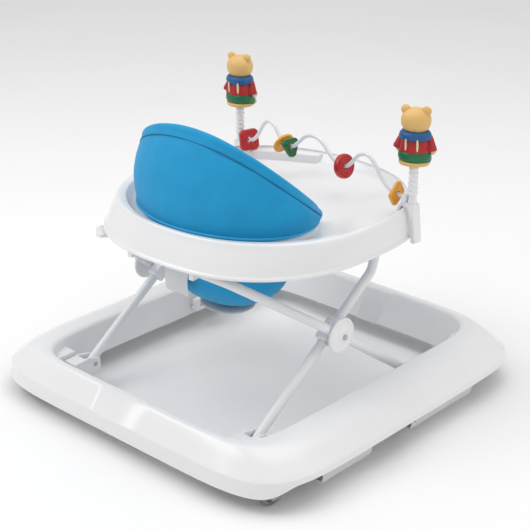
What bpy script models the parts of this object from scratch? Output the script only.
"""Baby walker: a base ring on wheels, a folding X frame, a round tray with a cloth seat, and a toy bar.

+X is the child's right, +Y is the way the child faces and +Z is up, in metres. The heights below are
measured from the base's datum plane. The wheels hold it RIDE above the floor, and lift() raises the
finished parts by that, so that the floor is z = 0.
"""

import math

import bmesh
import bpy
from mathutils import Matrix, Vector

# Height of the datum plane above the floor
RIDE = 0.012

# Base ring: half sizes of its outlines, and the heights that they lie at
BASE_HALF_X = 0.340
BASE_HALF_Y = 0.343
BASE_TOP_Z = 0.075
BASE_INNER_Z = 0.015
SIDE_HEM_Z = 0.031
REAR_HEM_Z = 0.013
SHELL_WALL = 0.003
RING_STEPS = 48

# X frame: side view places (y, z) of its pivots, and the planes of its tubes
TUBE_RADIUS = 0.008
REAR_LEG_X = 0.198
FRONT_LEG_X = 0.2165
REAR_PIVOT = (-0.2247, 0.0365)
HUB = (-0.0490, 0.1610)
SLIDER = (0.1267, 0.0365)
TRAY_PIVOT = (0.0750, 0.2950)
REST_BAR = (-0.1950, 0.2670)
PIN_RADIUS = 0.003
TRUNNION = 0.0024
FIT = 0.0003

# Tray: a rounded outline for its rim, and an oval hole for the seat
RIM_HALF_X = 0.2408
RIM_HALF_Y = 0.2343
RIM_POWER = 2.25
RIM_CENTRE_Y = 0.0075
RIM_Z = 0.340
HEM_HALF_X = 0.2469
HEM_HALF_Y = 0.2558
HEM_POWER = 2.45
HEM_CENTRE_Y = 0.0062
HEM_Z = 0.288
TRAY_FLOOR_Z = 0.319
COLLAR_Z = 0.329
HOLE_HALF_X = 0.155
HOLE_HALF_Y = 0.1155
HOLE_CENTRE_Y = -0.0818

# Seat
BACK_HALF_X = 0.1672
BACK_HALF_Y = 0.1236
BACK_FOOT_Z = 0.3315
BACK_RISE = 0.1430
BACK_LEAN = 0.0387
BACK_SWEEP = math.radians(131)
SLING_BOTTOM_Z = 0.172

# Wheels
WHEEL_RADIUS = 0.022
WHEEL_WIDTH = 0.016
REAR_WHEEL = (0.286, -0.2885, WHEEL_RADIUS - RIDE)
CASTER = (0.262, 0.266)
CASTER_TRAIL = 0.010

# Toy bar: clipped on the rim a little round to the right. u runs along it, v towards the front
BAR_CENTRE = (0.0159, 0.1377)
BAR_TURN = math.radians(-7.4)
POST_U = 0.2219
CLIP_TOP_Z = 0.3490
CLIP_HALF_WIDTH = 0.008
BEAR_FOOT_Z = 0.4148
WIRE_RADIUS = 0.0035
WIRE_END_U = 0.2045
WIRE_V = -0.0170
WIRE_BOW = 0.33

# Colour (linear RGB), roughness and metallic value of each material
MATERIALS = {
    "white_plastic": ((0.82, 0.82, 0.84), 0.28, 0.0),
    "white_paint": ((0.80, 0.80, 0.82), 0.30, 0.0),
    "grey_rubber": ((0.20, 0.20, 0.21), 0.75, 0.0),
    "grey_plastic": ((0.45, 0.45, 0.47), 0.50, 0.0),
    "light_strip": ((0.62, 0.62, 0.63), 0.65, 0.0),
    "steel": ((0.55, 0.55, 0.56), 0.30, 1.0),
    "blue_fabric": ((0.0, 0.32, 0.62), 0.80, 0.0),
    "grey_fabric": ((0.55, 0.56, 0.58), 0.85, 0.0),
    "label": ((0.78, 0.79, 0.80), 0.60, 0.0),
    "red_plastic": ((0.50, 0.01, 0.02), 0.35, 0.0),
    "green_plastic": ((0.01, 0.16, 0.03), 0.35, 0.0),
    "yellow_plastic": ((0.85, 0.36, 0.01), 0.35, 0.0),
    "tan_vinyl": ((0.80, 0.48, 0.16), 0.50, 0.0),
}

for old in list(bpy.data.objects):
    bpy.data.objects.remove(old)

parts = bpy.data.collections.new("baby_walker")
bpy.context.scene.collection.children.link(parts)
cutters = bpy.data.collections.new("cutters")
cutters.hide_render = True
bpy.context.scene.collection.children.link(cutters)


def material(name):
    """The material of this name, made on first use."""
    if name in bpy.data.materials:
        return bpy.data.materials[name]
    colour, roughness, metallic = MATERIALS[name]
    made = bpy.data.materials.new(name)
    made.use_nodes = True
    shader = made.node_tree.nodes["Principled BSDF"]
    shader.inputs["Base Color"].default_value = (*colour, 1)
    shader.inputs["Roughness"].default_value = roughness
    shader.inputs["Metallic"].default_value = metallic
    return made


def add(name, data, finish, collection=parts):
    """A new object with this data, in a collection, with its material."""
    obj = bpy.data.objects.new(name, data)
    if finish:
        data.materials.append(material(finish))
    collection.objects.link(obj)
    if collection is cutters:
        obj.hide_render = True
        obj.display_type = "WIRE"
    return obj


def from_bmesh(name, mesh_data, finish, smooth=True, collection=parts):
    """An object from a bmesh, shaded smooth up to 35 degrees."""
    bmesh.ops.recalc_face_normals(mesh_data, faces=mesh_data.faces)
    mesh = bpy.data.meshes.new(name)
    mesh_data.to_mesh(mesh)
    mesh_data.free()
    if smooth:
        mesh.shade_smooth()
        mesh.set_sharp_from_angle(angle=math.radians(35))
    return add(name, mesh, finish, collection)


def box(name, low, high, finish=None, bevel=0.0, collection=parts):
    """A block between two corners, with rounded edges where a bevel is given."""
    low = Vector(low)
    high = Vector(high)
    data = bmesh.new()
    bmesh.ops.create_cube(data, size=1)
    bmesh.ops.scale(data, vec=high - low, verts=data.verts)
    obj = from_bmesh(name, data, finish, smooth=False, collection=collection)
    obj.location = (low + high) / 2
    if bevel:
        round_edges(obj, bevel)
    return obj


def round_edges(obj, width, segments=2):
    bevel = obj.modifiers.new("rounded", "BEVEL")
    bevel.width = width
    bevel.segments = segments
    bevel.limit_method = "ANGLE"
    return bevel


def rod(name, start, end, radius, finish=None, sides=20, end_radius=None, collection=parts):
    """A round bar or cone between two points."""
    start = Vector(start)
    end = Vector(end)
    along = end - start
    data = bmesh.new()
    bmesh.ops.create_cone(
        data,
        cap_ends=True,
        segments=sides,
        radius1=radius,
        radius2=radius if end_radius is None else end_radius,
        depth=along.length,
    )
    obj = from_bmesh(name, data, finish, collection=collection)
    obj.location = (start + end) / 2
    obj.rotation_euler = along.to_track_quat("Z", "Y").to_euler()
    return obj


def ball(name, centre, half, finish=None, turn=(0, 0, 0), sides=12, collection=parts):
    """An ellipsoid with these half sizes, turned by Euler angles."""
    data = bmesh.new()
    bmesh.ops.create_uvsphere(data, u_segments=sides, v_segments=sides // 2 + 1, radius=1)
    bmesh.ops.scale(data, vec=half, verts=data.verts)
    obj = from_bmesh(name, data, finish, collection=collection)
    obj.location = centre
    obj.rotation_euler = turn
    return obj


def boolean(obj, other, operation):
    """Cuts another object from this one, or joins it, and keeps the result in the mesh."""
    step = obj.modifiers.new(operation.lower(), "BOOLEAN")
    step.operation = operation
    step.object = other
    bake(obj)
    bpy.data.objects.remove(other)


def bake(obj):
    """Puts an object's evaluated shape in its mesh, and drops its modifiers."""
    bpy.context.view_layer.update()
    evaluated = obj.evaluated_get(bpy.context.evaluated_depsgraph_get())
    mesh = bpy.data.meshes.new_from_object(evaluated)
    data = bmesh.new()
    data.from_mesh(mesh)
    bmesh.ops.remove_doubles(data, verts=data.verts, dist=1e-6)
    data.to_mesh(mesh)
    data.free()
    if obj.type == "MESH":
        obj.modifiers.clear()
        obj.data = mesh
        return obj
    name = obj.name
    place = obj.matrix_world.copy()
    bpy.data.objects.remove(obj)
    made = bpy.data.objects.new(name, mesh)
    parts.objects.link(made)
    made.matrix_world = place
    return made


def cut_rod(obj, start, end, radius, sides=20):
    boolean(obj, rod("cutter", start, end, radius, sides=sides, collection=cutters), "DIFFERENCE")


def cut_box(obj, low, high):
    boolean(obj, box("cutter", low, high, collection=cutters), "DIFFERENCE")


def rounded_route(corners, radius, steps=4):
    """A path through corner points with each inner corner turned on an arc."""
    corners = [Vector(c) for c in corners]
    route = [corners[0]]
    for before, corner, after in zip(corners, corners[1:], corners[2:]):
        to_before = (before - corner).normalized()
        to_after = (after - corner).normalized()
        half = to_before.angle(to_after) / 2
        reach = radius / math.tan(half)
        middle = corner + (to_before + to_after).normalized() * (radius / math.sin(half))
        first = (corner + to_before * reach - middle).normalized()
        last = (corner + to_after * reach - middle).normalized()
        for i in range(steps + 1):
            route.append(middle + first.slerp(last, i / steps) * radius)
    route.append(corners[-1])
    return route


def tube(name, route, radius, finish, resolution=3):
    """A round tube along a path, with closed ends."""
    curve = bpy.data.curves.new(name, "CURVE")
    curve.dimensions = "3D"
    curve.bevel_depth = radius
    curve.bevel_resolution = resolution
    curve.use_fill_caps = True
    spline = curve.splines.new("POLY")
    spline.points.add(len(route) - 1)
    for point, place in zip(spline.points, route):
        point.co = (*place, 1)
    return bake(add(name, curve, finish))


def plate(name, outlines, thickness, finish, axis="X", at=(0, 0, 0)):
    """A flat outline, with any holes, extruded both ways from the plane square to an axis.

    The outline's two coordinates are (y, z) for X, (x, z) for Y and (x, y) for Z.
    """
    curve = bpy.data.curves.new(name, "CURVE")
    curve.dimensions = "2D"
    curve.fill_mode = "BOTH"
    curve.extrude = thickness / 2
    for outline in outlines:
        spline = curve.splines.new("POLY")
        spline.points.add(len(outline) - 1)
        for point, (u, v) in zip(spline.points, outline):
            point.co = (u, v, 0, 1)
        spline.use_cyclic_u = True
    obj = add(name, curve, finish)
    turns = {"X": ((0, 1, 0), (0, 0, 1), (1, 0, 0)), "Y": ((1, 0, 0), (0, 0, 1), (0, -1, 0))}
    if axis in turns:
        obj.matrix_world = Matrix(turns[axis]).transposed().to_4x4()
    obj.location = at
    return obj


def turned(name, profile, finish, at, steps=20):
    """A turned shape about a vertical axis, from (radius, height) points that run top to bottom."""
    mesh = bpy.data.meshes.new(name)
    points = [(r, 0, z) for r, z in profile]
    mesh.from_pydata(points, [(i, i + 1) for i in range(len(points) - 1)], [])
    obj = add(name, mesh, finish)
    screw = obj.modifiers.new("turned", "SCREW")
    screw.steps = steps
    screw.render_steps = steps
    screw.use_merge_vertices = True
    screw.merge_threshold = 0.00001
    screw.use_smooth_shade = True
    obj.location = at
    return bake(obj)


def oval(half_x, half_y, power, angle, centre_y=0.0):
    """A point on a superellipse: power 2 is an ellipse, and more is squarer."""
    c = math.cos(angle)
    s = math.sin(angle)
    return (
        half_x * math.copysign(abs(c) ** (2 / power), c),
        centre_y + half_y * math.copysign(abs(s) ** (2 / power), s),
    )


def skin(name, rows, finish, closed=True, thickness=SHELL_WALL, offset=-1, close_end=False):
    """A sheet through rows of points, each row a ring or an open line, made solid."""
    data = bmesh.new()
    grid = [[data.verts.new(p) for p in row] for row in rows]
    count = len(grid[0])
    for low, high in zip(grid, grid[1:]):
        for i in range(count if closed else count - 1):
            j = (i + 1) % count
            data.faces.new((low[i], low[j], high[j], high[i]))
    if close_end:
        data.faces.new(grid[-1])
    mesh = bpy.data.meshes.new(name)
    data.to_mesh(mesh)
    data.free()
    mesh.shade_smooth()
    mesh.set_sharp_from_angle(angle=math.radians(35))
    obj = add(name, mesh, finish)
    solid = obj.modifiers.new("wall", "SOLIDIFY")
    solid.thickness = thickness
    solid.offset = offset
    return obj


def both_sides(build):
    """Calls a builder for the left piece and the right piece, with the sign of x."""
    for side, sign in (("left", -1), ("right", 1)):
        build(side, sign)


def blend(value, low, high):
    """0 below low, 1 above high, and smooth between."""
    t = min(1.0, max(0.0, (value - low) / (high - low)))
    return t * t * (3 - 2 * t)


# ---------------------------------------------------------------- base

def base_rings():
    """The base's section at every angle: up the skirt, over the crown and down the inner wall."""
    stations = [
        (BASE_HALF_X, BASE_HALF_Y, 7.0, None),
        (BASE_HALF_X, BASE_HALF_Y, 7.0, 0.0395),
        (BASE_HALF_X - 0.0025, BASE_HALF_Y - 0.0025, 7.0, 0.0425),
        (BASE_HALF_X - 0.0315, BASE_HALF_Y - 0.0210, 7.5, 0.0650),
        (BASE_HALF_X - 0.0600, BASE_HALF_Y - 0.0300, 8.0, BASE_TOP_Z),
        (BASE_HALF_X - 0.0840, BASE_HALF_Y - 0.0400, 8.5, BASE_TOP_Z - 0.0010),
        (BASE_HALF_X - 0.0895, BASE_HALF_Y - 0.0435, 8.5, BASE_TOP_Z - 0.0045),
        (BASE_HALF_X - 0.0970, BASE_HALF_Y - 0.0710, 8.0, BASE_INNER_Z),
    ]
    rows = []
    for half_x, half_y, power, z in stations:
        row = []
        for i in range(RING_STEPS):
            x, y = oval(half_x, half_y, power, 2 * math.pi * i / RING_STEPS)
            hem = REAR_HEM_Z + (SIDE_HEM_Z - REAR_HEM_Z) * blend(y, -0.325, -0.27)
            row.append((x, y, hem if z is None else z))
        rows.append(row)
    return rows


def base_shell():
    """The ring, with a hollow boss over each wheel that stands into the opening."""
    shell = skin("base_shell", base_rings(), "white_plastic")
    bake(shell)
    for sign in (-1, 1):
        x = sign * CASTER[0]
        y = CASTER[1]
        boss = rod("boss", (x, y, 0.014), (x, y, 0.056), 0.0375, "white_plastic", sides=28)
        boolean(shell, boss, "UNION")
        cut_rod(shell, (x, y, 0.005), (x, y, 0.040), 0.0345, sides=28)
        cut_rod(shell, (x, y, 0.035), (x, y, 0.053), 0.0240, sides=28)
        y = REAR_WHEEL[1]
        near, far = sorted((sign * 0.214, sign * 0.281))
        boss = box("boss", (near, y - 0.018, 0.014), (far, y + 0.046, 0.058), "white_plastic")
        boolean(shell, boss, "UNION")
        near, far = sorted((sign * 0.217, sign * 0.282))
        cut_box(shell, (near, y - 0.0215, 0.005), (far, y + 0.043, 0.0485))
    return shell


def friction_strip(name, sign, y, length):
    """A runner under a side rail that grips the floor when a wheel drops over a step."""
    outline = [
        (0.2495, 0.0105), (0.3310, 0.0105), (0.3340, 0.0180), (0.3340, 0.0360), (0.3318, 0.0360),
        (0.3318, 0.0185), (0.3290, 0.0135), (0.2520, 0.0135), (0.2520, 0.0150), (0.2495, 0.0150),
    ]
    return plate(name, [[(sign * x, z) for x, z in outline]], length, "light_strip", "Y", (0, y, 0))


def friction_strips():
    for side, sign in (("left", -1), ("right", 1)):
        for end, y, length in (("rear", -0.1625, 0.119), ("front", 0.0850, 0.170)):
            friction_strip(f"friction_strip_{side}_{end}", sign, y, length)


def end_strips():
    """The runners under the front and rear rails, which are flat."""
    for name, x, y, half in (
        ("front_left", -0.094, 0.303, 0.088),
        ("front_right", 0.094, 0.303, 0.088),
        ("rear_middle", 0, -0.303, 0.182),
    ):
        low = (x - half, y - 0.027, 0.0100)
        high = (x + half, y + 0.027, 0.0145)
        box(f"friction_strip_{name}", low, high, "light_strip", bevel=0.001)


def rear_wheel(side, sign):
    """A fixed wheel on an axle, in a bracket under the corner of the base."""
    x, y, z = REAR_WHEEL
    x = sign * x
    outline = [(y - 0.009, z - 0.009), (y + 0.009, z - 0.009), (y + 0.012, 0.047), (y - 0.009, 0.047)]
    bracket = plate(f"rear_wheel_bracket_{side}", [outline], 0.028, "grey_plastic", "X", (x, 0, 0))
    bracket = bake(bracket)
    cut_box(bracket, (x - 0.0105, y - 0.03, -0.01), (x + 0.0105, y + 0.03, 0.0445))
    axle_hole = PIN_RADIUS + FIT
    cut_rod(bracket, (x - 0.03, y, z), (x + 0.03, y, z), axle_hole)
    rod(f"rear_wheel_axle_{side}", (x - 0.0155, y, z), (x + 0.0155, y, z), PIN_RADIUS, "steel", sides=16)
    wheel(f"rear_wheel_{side}", (x, y, z), WHEEL_RADIUS, WHEEL_WIDTH)


def wheel(name, centre, radius, width):
    """A moulded wheel with a soft edge and a dished hub, about an axis along X."""
    half = width / 2
    bore = PIN_RADIUS + FIT
    upper = [
        (bore, half - 0.001), (radius * 0.40, half - 0.001), (radius * 0.46, half - 0.004),
        (radius * 0.74, half - 0.004), (radius * 0.80, half), (radius - 0.002, half),
        (radius, half - 0.003),
    ]
    lower = [(r, -z) for r, z in reversed(upper)]
    obj = turned(name, upper + lower + upper[:1], "grey_rubber", centre, steps=18)
    obj.rotation_euler = (0, math.radians(90), 0)
    return obj


def caster(side, sign):
    """A front wheel whose fork swivels about an upright stem in the base."""
    x, y = CASTER
    x *= sign
    top = 0.0515
    axle_y = y - CASTER_TRAIL
    z = WHEEL_RADIUS - RIDE
    outline = [
        (axle_y - 0.006, z - 0.006), (axle_y + 0.006, z - 0.006), (y + 0.013, 0.0470),
        (y + 0.010, 0.0500), (y - 0.014, 0.0500), (y - 0.016, 0.0465),
    ]
    fork = bake(plate(f"caster_fork_{side}", [outline], 0.024, "grey_plastic", "X", (x, 0, 0)))
    cut_box(fork, (x - 0.0090, y - 0.05, -0.01), (x + 0.0090, y + 0.05, 0.0460))
    stem = rod("stem", (x, y, 0.0490), (x, y, top), 0.006, "grey_plastic", sides=16)
    boolean(fork, stem, "UNION")
    cut_rod(fork, (x - 0.03, axle_y, z), (x + 0.03, axle_y, z), PIN_RADIUS + FIT)
    near = (x - 0.0130, axle_y, z)
    far = (x + 0.0130, axle_y, z)
    rod(f"caster_axle_{side}", near, far, PIN_RADIUS, "steel", sides=16)
    wheel(f"caster_wheel_{side}", (x, axle_y, z), WHEEL_RADIUS, 0.015)


def rear_pivot(side, sign):
    """The bracket and pin that hold the foot of a rear leg."""
    y, z = REAR_PIVOT
    x = sign * REAR_LEG_X
    outline = [
        (-0.2590, 0.0190), (-0.2700, 0.0500), (-0.2400, 0.0520),
        (-0.2140, 0.0460), (-0.2130, 0.0270), (-0.2200, 0.0190),
    ]
    at = (x, 0, 0)
    bracket = bake(plate(f"rear_pivot_bracket_{side}", [outline], 0.030, "white_plastic", "X", at))
    cut_box(bracket, (x - 0.0088, -0.2440, 0.0), (x + 0.0088, -0.2, 0.1))
    cut_rod(bracket, (x - 0.03, y, z), (x + 0.03, y, z), PIN_RADIUS + FIT)
    rod(f"rear_pivot_pin_{side}", (x - 0.0165, y, z), (x + 0.0165, y, z), PIN_RADIUS, "steel", sides=16)


def rectangle(left, right, low, high):
    return [(left, low), (right, low), (right, high), (left, high)]


def slide_guide(side, sign):
    """The slotted guide inside the base that the foot of a front leg slides in."""
    y, z = SLIDER
    outline = rectangle(y - 0.0610, y + 0.0900, z - 0.0120, z + 0.0120)
    slot = rectangle(y - 0.0520, y + 0.0810, z - 0.0050, z + 0.0050)
    at = (sign * 0.2313, 0, 0)
    guide = bake(plate(f"slide_guide_{side}", [outline, slot], 0.010, "white_plastic", "X", at))
    inner, outer = sorted((sign * 0.2350, sign * 0.2438))
    lug = box("lug", (inner, y - 0.0600, z - 0.0110), (outer, y - 0.0400, z - 0.0060), "white_plastic")
    boolean(guide, lug, "UNION")


# ---------------------------------------------------------------- frame

def leg_direction():
    """The direction of the rear leg in the side view, from its foot to the hub."""
    dy = HUB[0] - REAR_PIVOT[0]
    dz = HUB[1] - REAR_PIVOT[1]
    length = math.hypot(dy, dz)
    return dy / length, dz / length


def rear_leg():
    """One bent tube: up from the base at the rear, through the hubs, and across under the tray."""
    dy, dz = leg_direction()
    x = REAR_LEG_X
    foot = (x, REAR_PIVOT[0] - 0.010 * dy, REAR_PIVOT[1] - 0.010 * dz)
    knee = (x, HUB[0] + 0.128 * dy, HUB[1] + 0.128 * dz)
    half = [foot, knee, (x, *TRAY_PIVOT)]
    mirrored = [(-p[0], p[1], p[2]) for p in reversed(half)]
    leg = tube("rear_leg_tube", rounded_route(half + mirrored, 0.026), TUBE_RADIUS, "white_paint")
    hole = PIN_RADIUS + FIT
    for sign in (-1, 1):
        x = sign * REAR_LEG_X
        cut_rod(leg, (x - 0.02, *REAR_PIVOT), (x + 0.02, *REAR_PIVOT), hole, sides=16)


def front_leg():
    """One bent tube: from the slides at the front, over the hubs, and in to a bar under the tray."""
    dy, dz = leg_direction()
    x = FRONT_LEG_X
    foot = (x, SLIDER[0] + 0.010 * dy, SLIDER[1] - 0.010 * dz)
    shoulder = (x, HUB[0] - 0.045 * dy, HUB[1] + 0.045 * dz)
    half = [foot, shoulder, (0.112, *REST_BAR)]
    mirrored = [(-p[0], p[1], p[2]) for p in reversed(half)]
    leg = tube("front_leg_tube", rounded_route(half + mirrored, 0.030), TUBE_RADIUS, "white_paint")
    for sign in (-1, 1):
        x = sign * FRONT_LEG_X
        cut_rod(leg, (x - 0.02, *HUB), (x + 0.02, *HUB), 0.0046, sides=16)
        cut_rod(leg, (x - 0.02, *SLIDER), (x + 0.02, *SLIDER), 0.0043, sides=16)


def slider_pin(side, sign):
    """The pin at the foot of a front leg, which runs in the guide's slot."""
    inner = (sign * (FRONT_LEG_X - 0.0095), *SLIDER)
    outer = (sign * (FRONT_LEG_X + 0.0190), *SLIDER)
    rod(f"slider_pin_{side}", inner, outer, 0.004, "grey_plastic", sides=16)


def hub(side, sign):
    """The clamp round the rear leg, the cover outside the front leg, and the screw through both."""
    dy, dz = leg_direction()
    x = sign * REAR_LEG_X
    outer = sign * (FRONT_LEG_X + TUBE_RADIUS + 0.0004)
    near, far = sorted((-sign * 0.0125, sign * 0.0092))
    clamp = box(f"hub_clamp_{side}", (near, -0.022, -0.0125), (far, 0.022, 0.0125), "white_plastic")
    clamp.rotation_euler = (math.atan2(dz, dy), 0, 0)
    clamp.location = Vector((x + clamp.location.x, *HUB))
    round_edges(clamp, 0.003)
    bake(clamp)
    reach = 0.03
    cut_rod(
        clamp,
        (x, HUB[0] - reach * dy, HUB[1] - reach * dz),
        (x, HUB[0] + reach * dy, HUB[1] + reach * dz),
        TUBE_RADIUS + FIT,
    )
    boss = rod("boss", (x + sign * 0.0087, *HUB), (outer, *HUB), 0.0043, "white_plastic", sides=16)
    boolean(clamp, boss, "UNION")
    cut_rod(clamp, (x + sign * 0.0120, *HUB), (outer + sign * 0.01, *HUB), 0.0021, sides=12)
    face = outer + sign * 0.0003
    centre_y = HUB[0] - 0.008 * dy
    centre_z = HUB[1] + 0.008 * dz
    cover = rod(
        f"hub_cover_{side}", (face, centre_y, centre_z), (face + sign * 0.0045, centre_y, centre_z),
        0.030, "white_plastic", sides=36,
    )
    round_edges(cover, 0.0015)
    bake(cover)
    cut_rod(cover, (face - sign * 0.01, *HUB), (face + sign * 0.01, *HUB), 0.0021, sides=12)
    seat = (face + sign * 0.0048, *HUB)
    top = (face + sign * 0.0066, *HUB)
    tip = (face - sign * 0.0080, *HUB)
    overlap = (face + sign * 0.0052, *HUB)
    head = rod(f"hub_screw_{side}", seat, top, 0.0048, "steel", sides=16)
    shank = rod("shank", tip, overlap, 0.0018, "steel", sides=12)
    boolean(head, shank, "UNION")


# ---------------------------------------------------------------- tray

def tray_rings():
    """The tray's section at every angle: hem, skirt, rim, floor, and the collar of the seat hole."""
    stations = 15
    rows = [[] for _ in range(stations)]
    for i in range(RING_STEPS):
        angle = 2 * math.pi * i / RING_STEPS
        rim_at = Vector(oval(RIM_HALF_X, RIM_HALF_Y, RIM_POWER, angle, RIM_CENTRE_Y))
        hem_at = Vector(oval(HEM_HALF_X, HEM_HALF_Y, HEM_POWER, angle, HEM_CENTRE_Y))
        hole_at = Vector(oval(HOLE_HALF_X, HOLE_HALF_Y, 2.0, angle, HOLE_CENTRE_Y))
        outward = Vector((math.cos(angle), math.sin(angle)))
        across = rim_at - hole_at
        width = across.length
        across /= width
        shrink = min(1.0, width / 0.066)
        band = 0.024 - 0.018 * blend(math.sin(angle), -0.10, 0.35)
        floor = COLLAR_Z + (TRAY_FLOOR_Z - COLLAR_Z) * blend(width, 0.030, 0.080)
        section = [
            (hem_at, HEM_Z),
            (hem_at, HEM_Z + 0.0035),
            (hem_at - outward * 0.0025, HEM_Z + 0.0060),
            (hem_at * 0.5 + rim_at * 0.5 + outward * 0.0010, 0.3130),
            (rim_at + outward * 0.0020, 0.3320),
            (rim_at, 0.3370),
            (rim_at - across * 0.0045 * shrink, RIM_Z),
            (rim_at - across * (band - 0.0010) * shrink, RIM_Z - 0.0008),
            (rim_at - across * (band + 0.0020) * shrink, RIM_Z - 0.0040),
            (rim_at - across * (band + 0.0110) * shrink, floor + 0.0040),
            (hole_at + across * 0.0240 * shrink, floor),
            (hole_at + across * 0.0140 * shrink, floor + 0.0010),
            (hole_at + across * 0.0090 * shrink, COLLAR_Z - 0.0010),
            (hole_at + across * 0.0010 * shrink, COLLAR_Z),
            (hole_at, COLLAR_Z - 0.0140),
        ]
        for row, (place, z) in zip(rows, section):
            row.append((place.x, place.y, z))
    return rows


def tray_fittings(side, sign):
    """A saddle for the rear leg's cross bar, and a rail that the front leg's rest bar slides under."""
    y, z = TRAY_PIVOT
    x = sign * 0.120
    low = (x - 0.014, y - 0.015, z - 0.013)
    high = (x + 0.014, y + 0.015, 0.3155)
    saddle = box(f"tray_saddle_{side}", low, high, "white_plastic")
    round_edges(saddle, 0.002)
    bake(saddle)
    cut_rod(saddle, (x - 0.03, y, z), (x + 0.03, y, z), TUBE_RADIUS + FIT)
    slope = 0.0888
    gap = TUBE_RADIUS + 0.0012
    bar_y, bar_z = REST_BAR
    front = bar_y + 0.0085
    rear = bar_y - 0.040
    outline = [
        (rear, bar_z + gap + slope * (rear - bar_y)), (front, bar_z + gap + slope * (front - bar_y)),
        (front, 0.3110), (front - 0.010, 0.3220), (rear + 0.022, 0.3220), (rear, 0.2960),
    ]
    plate(f"tray_rail_{side}", [outline], 0.010, "white_plastic", "X", (sign * 0.070, 0, 0))


def release_lever():
    """The finger lever under the rear left of the tray, and the block that its trunnions turn in."""
    angle = math.radians(228)
    outward = Vector((math.cos(angle), math.sin(angle), 0))
    across = Vector((-outward.y, outward.x, 0))
    frame = Matrix((outward, across, Vector((0, 0, 1)))).transposed().to_4x4()
    pivot = outward * 0.2265 + Vector((0, 0, 0.2780))
    outline = [
        (-0.009, -0.020), (0.043, -0.022), (0.051, -0.014),
        (0.051, 0.014), (0.043, 0.022), (-0.009, 0.020),
    ]
    lever = plate("release_lever", [outline], 0.005, "white_plastic", "Z")
    lever.matrix_world = Matrix.Translation(pivot) @ frame
    lever = bake(lever)
    reach = across * 0.0255
    trunnion = rod("trunnion", pivot - reach, pivot + reach, TRUNNION, "white_plastic", sides=16)
    boolean(lever, trunnion, "UNION")
    outline = [(-0.012, -0.0295), (0.008, -0.0295), (0.008, 0.0295), (-0.012, 0.0295)]
    block = plate("release_lever_bracket", [outline], 0.0444, "white_plastic", "Z")
    block.matrix_world = Matrix.Translation(pivot + Vector((0, 0, 0.0174))) @ frame
    block = bake(block)
    slot = box("cutter", (-0.05, -0.0225, -0.03), (0.05, 0.0225, 0.0075), collection=cutters)
    slot.matrix_world = Matrix.Translation(pivot) @ frame @ slot.matrix_basis
    boolean(block, slot, "DIFFERENCE")
    cut_rod(block, pivot - across * 0.0262, pivot + across * 0.0262, TRUNNION + FIT, sides=16)


# ---------------------------------------------------------------- seat

def seat_back():
    """The tall padded back, highest behind the child and falling to a point at each front end."""
    columns = 28
    rows = []
    for level in (0.0, 0.28, 0.60, 0.88, 1.0):
        row = []
        for i in range(columns + 1):
            angle = (2 * i / columns - 1) * BACK_SWEEP
            tall = max(0.0, math.cos(math.pi / 2 * angle / BACK_SWEEP)) ** 1.363
            bulge = 0.006 * math.sin(math.pi * level)
            half_x = BACK_HALF_X + bulge
            half_y = BACK_HALF_Y + bulge - BACK_LEAN * tall * level ** 1.5
            x = half_x * math.sin(angle)
            y = HOLE_CENTRE_Y - half_y * math.cos(angle)
            row.append((x, y, BACK_FOOT_Z + level * (0.0130 + BACK_RISE * tall)))
        rows.append(row)
    skin("seat_back", rows, "blue_fabric", closed=False, thickness=0.014)


def seat_sling():
    """The cloth bowl that the child sits in, with two leg openings."""
    stations = [
        (0.965, 0.3250), (0.950, 0.2950), (0.900, 0.2550), (0.760, 0.2150),
        (0.520, 0.1860), (0.260, 0.1740), (0.100, SLING_BOTTOM_Z),
    ]
    rows = []
    for scale, z in stations:
        row = []
        for i in range(RING_STEPS // 2):
            angle = 4 * math.pi * i / RING_STEPS
            half_x = (HOLE_HALF_X - 0.012) * scale
            half_y = (HOLE_HALF_Y - 0.012) * scale
            x, y = oval(half_x, half_y, 2.0, angle, HOLE_CENTRE_Y)
            row.append((x, y, z))
        rows.append(row)
    sling = skin("seat_sling", list(reversed(rows)), "blue_fabric", thickness=0.003)
    data = bmesh.new()
    data.from_mesh(sling.data)
    data.verts.ensure_lookup_table()
    data.faces.new(list(reversed(data.verts[:RING_STEPS // 2])))
    bmesh.ops.recalc_face_normals(data, faces=data.faces)
    data.to_mesh(sling.data)
    data.free()
    bake(sling)
    for sign in (-1, 1):
        inside = (sign * 0.050, HOLE_CENTRE_Y, 0.262)
        outside = (sign * 0.085, HOLE_CENTRE_Y + 0.160, 0.150)
        cut_rod(sling, inside, outside, 0.040, sides=24)


def seat_trim():
    """The pad under the sling, and the sewn label that hangs behind it."""
    ball("seat_bottom_pad", (0, HOLE_CENTRE_Y, 0.1640), (0.050, 0.042, 0.0065), "grey_fabric", sides=16)
    box("seat_label", (-0.045, -0.1800, 0.2080), (0.008, -0.1790, 0.2520), "label")


# ---------------------------------------------------------------- toy bar

# Half of the wavy wire, from its end to its middle: (u, z)
WIRE_HUMPS = [
    (WIRE_END_U, 0.3560), (0.1900, 0.3580), (0.1750, 0.3625), (0.1600, 0.3750), (0.1470, 0.3930),
    (0.1350, 0.4055), (0.1221, 0.4098), (0.1080, 0.4045), (0.0950, 0.3910), (0.0820, 0.3795),
    (0.0679, 0.3769), (0.0530, 0.3815), (0.0380, 0.3930), (0.0200, 0.4075), (0, 0.4126),
]


def bar_frame(u, v, z):
    """A place in the toy bar's own frame, as a matrix with X along the bar."""
    turn = Matrix.Rotation(BAR_TURN, 4, "Z")
    return Matrix.Translation((*BAR_CENTRE, 0)) @ turn @ Matrix.Translation((u, v, z))


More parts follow.
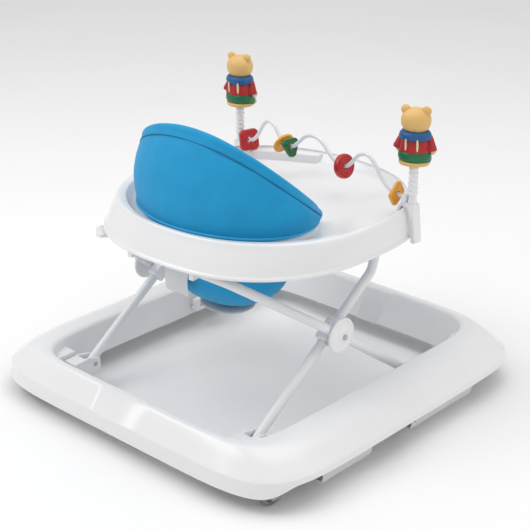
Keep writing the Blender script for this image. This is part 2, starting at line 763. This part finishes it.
def wire_route():
    """The wire's centre line in the bar's frame, sampled on a smooth curve through its humps."""
    half = [Vector((-u, WIRE_V + WIRE_BOW * u * u, z)) for u, z in WIRE_HUMPS]
    ends = half + [Vector((-p.x, p.y, p.z)) for p in reversed(half[:-1])]
    route = []
    for i in range(len(ends) - 1):
        a = ends[i]
        b = ends[i + 1]
        before = ends[max(i - 1, 0)]
        after = ends[min(i + 2, len(ends) - 1)]
        for t in (0.0, 0.5):
            square = (2 * before - 5 * a + 4 * b - after) * t * t
            cube = (3 * a - before - 3 * b + after) * t * t * t
            route.append(0.5 * (2 * a + (b - before) * t + square + cube))
    route.append(ends[-1])
    return route


def circle(radius, sides=24):
    angles = [2 * math.pi * i / sides for i in range(sides)]
    return [(radius * math.cos(a), radius * math.sin(a)) for a in angles]


def rounded(corners, radius, steps=4):
    """A closed flat outline with its corners turned on arcs."""
    out = []
    count = len(corners)
    for i in range(count):
        trio = [Vector((*corners[(i + k) % count], 0)) for k in (-1, 0, 1)]
        arc = rounded_route(trio, radius, steps)[1:-1]
        out += [(p.x, p.y) for p in arc]
    return out


def bead(name, u, outline, thickness, finish):
    """A flat bead threaded on the wire and square to it, whose hole is wider than the wire."""
    route = wire_route()
    i = min(range(len(route)), key=lambda k: abs(route[k].x - u))
    along = (route[i + 1] - route[i - 1]).normalized()
    side = Vector((0, 0, 1)).cross(along).normalized()
    turn = Matrix((side, along.cross(side), along)).transposed().to_4x4()
    place = bar_frame(*route[i]) @ turn
    obj = plate(name, [outline, circle(0.0056, 16)], thickness, finish, "Z")
    obj.matrix_world = place


def beads():
    """Five beads, in the order that they sit along the wire."""
    square = rounded([(-0.0195, -0.0195), (0.0195, -0.0195), (0.0195, 0.0195), (-0.0195, 0.0195)], 0.0090)
    triangle = rounded([(-0.0235, 0.0150), (-0.0010, -0.0290), (0.0215, 0.0150)], 0.0085)
    diamond = rounded([(-0.0200, 0), (0, -0.0270), (0.0200, 0), (0, 0.0270)], 0.0070)
    bead("bead_red_square", -0.1900, square, 0.008, "red_plastic")
    bead("bead_yellow_ring", -0.0810, circle(0.0205), 0.006, "yellow_plastic")
    bead("bead_green_triangle", -0.0640, triangle, 0.008, "green_plastic")
    bead("bead_red_ring", 0.0780, circle(0.0213), 0.010, "red_plastic")
    bead("bead_yellow_diamond", 0.1900, diamond, 0.007, "yellow_plastic")


def toy_stand(side, sign):
    """A clip hooked over the tray's rim, with a ribbed post on it."""
    hook = [
        (-0.0245, 0.3290), (-0.0200, 0.3375), (-0.0165, 0.3410), (-0.0100, 0.3412), (-0.0050, 0.3395),
        (-0.0010, 0.3340), (0.0070, 0.2900), (0.0070, 0.2835), (0.0150, 0.2835), (0.0155, 0.2900),
        (0.0088, 0.3440), (0.0075, CLIP_TOP_Z), (-0.0110, CLIP_TOP_Z), (-0.0185, 0.3462), (-0.0240, 0.3400),
        (-0.0290, 0.3300),
    ]
    outline = [(sign * u, z) for u, z in hook]
    clip = plate(f"toy_clip_{side}", [outline], 2 * CLIP_HALF_WIDTH, "white_plastic", "Y")
    clip.matrix_world = bar_frame(sign * POST_U, 0, 0) @ clip.matrix_world
    clip = bake(clip)
    tray = skin("cutter", tray_rings(), None, thickness=SHELL_WALL + 0.0010, offset=-0.75)
    boolean(clip, tray, "DIFFERENCE")
    end_u = WIRE_END_U + 0.0010
    end_v = wire_route()[0].y
    end_z = WIRE_HUMPS[0][1]
    low = (end_u, end_v - 0.0055, CLIP_TOP_Z - 0.002)
    high = (POST_U - 0.0085, end_v + 0.0055, end_z + 0.0055)
    lug = box("lug", low, high)
    lug.location.x *= sign
    lug.matrix_world = bar_frame(0, 0, 0) @ lug.matrix_basis
    boolean(clip, lug, "UNION")
    top = BEAR_FOOT_Z - 0.0004
    foot = CLIP_TOP_Z + 0.0004
    levels = 6
    first = foot + 0.0120
    pitch = (top - 0.0020 - first) / levels
    ribs = [(0.0, top), (0.0058, top)]
    for i in range(levels):
        level = top - 0.0020 - i * pitch
        swell = 0.0072 + 0.00015 * i
        ribs += [(swell - 0.0016, level), (swell, level - 0.30 * pitch), (swell, level - 0.70 * pitch)]
    ribs += [(0.0064, first), (0.0074, foot), (0.0, foot)]
    place = bar_frame(sign * POST_U, 0, 0).translation
    turned(f"toy_post_{side}", ribs, "white_plastic", place, steps=14)


def bear(side, sign):
    """A generic teddy bear figure in a jumper and trousers, one moulding, facing the tray's front."""
    turn = math.radians(8 if sign < 0 else 20)
    base = bar_frame(sign * POST_U, 0, BEAR_FOOT_Z).translation
    frame = Matrix.Translation(base) @ Matrix.Rotation(turn, 4, "Z")
    shapes = [
        ("head", (0, 0.0010, 0.0735), (0.0243, 0.0225, 0.0215), 0, 14),
        ("ear", (-0.0165, -0.0010, 0.0915), (0.0080, 0.0058, 0.0080), 0, 8),
        ("ear", (0.0165, -0.0010, 0.0915), (0.0080, 0.0058, 0.0080), 0, 8),
        ("collar", (0, 0, 0.0510), (0.0255, 0.0215, 0.0085), 0, 12),
        ("arm", (-0.0255, 0.0040, 0.0360), (0.0095, 0.0110, 0.0140), 25, 8),
        ("arm", (0.0255, 0.0040, 0.0360), (0.0095, 0.0110, 0.0140), -25, 8),
        ("foot", (-0.0125, 0.0150, 0.0080), (0.0110, 0.0130, 0.0076), 0, 8),
        ("foot", (0.0125, 0.0150, 0.0080), (0.0110, 0.0130, 0.0076), 0, 8),
    ]
    body = ball(f"toy_bear_{side}", (0, 0, 0.0250), (0.0265, 0.0220, 0.0248), "tan_vinyl", sides=14)
    for name, place, half, lean, sides in shapes:
        piece = ball(name, place, half, turn=(0, math.radians(lean), 0), sides=sides)
        boolean(body, piece, "UNION")
    body.matrix_world = frame @ body.matrix_world


def lift():
    """Raises the finished parts from the datum plane's frame to the floor's."""
    for obj in parts.objects:
        obj.location.z += RIDE


def main():
    base_shell()
    friction_strips()
    end_strips()
    for build in (rear_wheel, caster, rear_pivot, slide_guide, slider_pin, hub, tray_fittings, toy_stand, bear):
        both_sides(build)
    rear_leg()
    front_leg()
    skin("tray_shell", tray_rings(), "white_plastic")
    release_lever()
    seat_back()
    seat_sling()
    seat_trim()
    route = [bar_frame(*p).translation for p in wire_route()]
    tube("toy_wire", route, WIRE_RADIUS, "white_plastic", resolution=2)
    beads()
    lift()


main()
